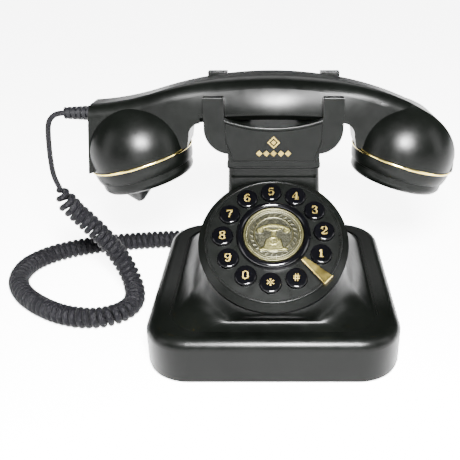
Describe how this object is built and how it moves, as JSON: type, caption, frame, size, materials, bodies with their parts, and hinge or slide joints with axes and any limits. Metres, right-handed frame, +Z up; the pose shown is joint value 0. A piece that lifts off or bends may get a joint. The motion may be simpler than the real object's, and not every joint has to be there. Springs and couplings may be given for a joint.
{
  "type": "cradle telephone",
  "caption": "Desk telephone in the French cradle style: rounded square base, sloped dial face with push keys, and a handset with two cups resting on a pronged cradle.",
  "frame": {"origin": "on the floor below the middle of the base, the bottom centre of the telephone without its cord", "axes": "+X to the user's right along the handset, +Y away from the user, +Z up; the dial faces -Y and up"},
  "size_m": [0.3051, 0.1768, 0.1567],
  "materials": {
    "satin_black": "satin",
    "dial_black": "satin",
    "gloss_black": "gloss",
    "antique_gold": "antique",
    "gold": "polished",
    "steel": "brushed",
    "rubber": "matt",
    "relief_rubber": "matt",
    "board": "satin",
    "cord_fabric": "braided",
    "clear_plastic": "clear moulded"
  },
  "bodies": {
    "base": {"base_housing": "satin_black", "base_plate": "satin_black", "rubber_feet": "rubber", "base_screws": "steel", "ballast_plate": "steel", "main_board": "board", "ringer": "satin_black", "handset_jack": "satin_black", "line_jack": "satin_black", "switch_body": "satin_black", "dial_ring": "satin_black", "dial_plate": "dial_black", "hub_ring": "gloss_black", "medallion": "antique_gold", "finger_stop": "gold", "key_mat": "rubber", "key_board": "board", "dial_screws": "steel", "neck_collar": "satin_black", "cradle": "satin_black", "emblem": "gold", "hook_bracket": "steel", "hook_switch": "satin_black", "hook_spring": "steel", "cord_coil": "cord_fabric", "cord_tail": "cord_fabric", "handset_plug": "clear_plastic"},
    "handset": {"handset_shell": "satin_black", "handset_grip": "satin_black", "mouthpiece_ring": "gold", "earpiece_ring": "gold", "mouthpiece_cap": "satin_black", "earpiece_cap": "satin_black", "mouthpiece_horn": "satin_black", "microphone": "steel", "receiver": "satin_black", "handset_weight": "steel", "handset_screws": "steel", "strain_relief": "relief_rubber", "cord_straight": "cord_fabric"},
    "hook": {"hook_plunger": "satin_black"},
    "ringer_slider": {"ringer_switch": "satin_black"},
    "key_1_body": {"key_1": "gloss_black"},
    "key_2_body": {"key_2": "gloss_black"},
    "key_3_body": {"key_3": "gloss_black"},
    "key_4_body": {"key_4": "gloss_black"},
    "key_5_body": {"key_5": "gloss_black"},
    "key_6_body": {"key_6": "gloss_black"},
    "key_7_body": {"key_7": "gloss_black"},
    "key_8_body": {"key_8": "gloss_black"},
    "key_9_body": {"key_9": "gloss_black"},
    "key_0_body": {"key_0": "gloss_black"},
    "key_star_body": {"key_star": "gloss_black"},
    "key_hash_body": {"key_hash": "gloss_black"}
  },
  "joints": [
    {"name": "handset_lift", "type": "slide", "parent": "base", "child": "handset", "axis": [0, 0.0872, 0.9962], "range_m": [0, 0.07]},
    {"name": "hook_press", "type": "slide", "parent": "base", "child": "hook", "axis": [0, 0, 1], "range_m": [0, 0.005], "deforming": ["hook_spring"]},
    {"name": "ringer_slide", "type": "slide", "parent": "base", "child": "ringer_slider", "axis": [1, 0, 0], "range_m": [0, 0.003]},
    {"name": "key_1_press", "type": "slide", "parent": "base", "child": "key_1_body", "axis": [0, 0.5736, -0.8192], "range_m": [0, 0.0015], "stiffness_N_per_m": 400, "springref_m": -0.0005},
    {"name": "key_2_press", "type": "slide", "parent": "base", "child": "key_2_body", "axis": [0, 0.5736, -0.8192], "range_m": [0, 0.0015], "stiffness_N_per_m": 400, "springref_m": -0.0005},
    {"name": "key_3_press", "type": "slide", "parent": "base", "child": "key_3_body", "axis": [0, 0.5736, -0.8192], "range_m": [0, 0.0015], "stiffness_N_per_m": 400, "springref_m": -0.0005},
    {"name": "key_4_press", "type": "slide", "parent": "base", "child": "key_4_body", "axis": [0, 0.5736, -0.8192], "range_m": [0, 0.0015], "stiffness_N_per_m": 400, "springref_m": -0.0005},
    {"name": "key_5_press", "type": "slide", "parent": "base", "child": "key_5_body", "axis": [0, 0.5736, -0.8192], "range_m": [0, 0.0015], "stiffness_N_per_m": 400, "springref_m": -0.0005},
    {"name": "key_6_press", "type": "slide", "parent": "base", "child": "key_6_body", "axis": [0, 0.5736, -0.8192], "range_m": [0, 0.0015], "stiffness_N_per_m": 400, "springref_m": -0.0005},
    {"name": "key_7_press", "type": "slide", "parent": "base", "child": "key_7_body", "axis": [0, 0.5736, -0.8192], "range_m": [0, 0.0015], "stiffness_N_per_m": 400, "springref_m": -0.0005},
    {"name": "key_8_press", "type": "slide", "parent": "base", "child": "key_8_body", "axis": [0, 0.5736, -0.8192], "range_m": [0, 0.0015], "stiffness_N_per_m": 400, "springref_m": -0.0005},
    {"name": "key_9_press", "type": "slide", "parent": "base", "child": "key_9_body", "axis": [0, 0.5736, -0.8192], "range_m": [0, 0.0015], "stiffness_N_per_m": 400, "springref_m": -0.0005},
    {"name": "key_0_press", "type": "slide", "parent": "base", "child": "key_0_body", "axis": [0, 0.5736, -0.8192], "range_m": [0, 0.0015], "stiffness_N_per_m": 400, "springref_m": -0.0005},
    {"name": "key_star_press", "type": "slide", "parent": "base", "child": "key_star_body", "axis": [0, 0.5736, -0.8192], "range_m": [0, 0.0015], "stiffness_N_per_m": 400, "springref_m": -0.0005},
    {"name": "key_hash_press", "type": "slide", "parent": "base", "child": "key_hash_body", "axis": [0, 0.5736, -0.8192], "range_m": [0, 0.0015], "stiffness_N_per_m": 400, "springref_m": -0.0005}
  ],
  "couplings": [
    {"joint": "hook_press", "follows": "handset_lift", "ratio": 0.0714}
  ]
}
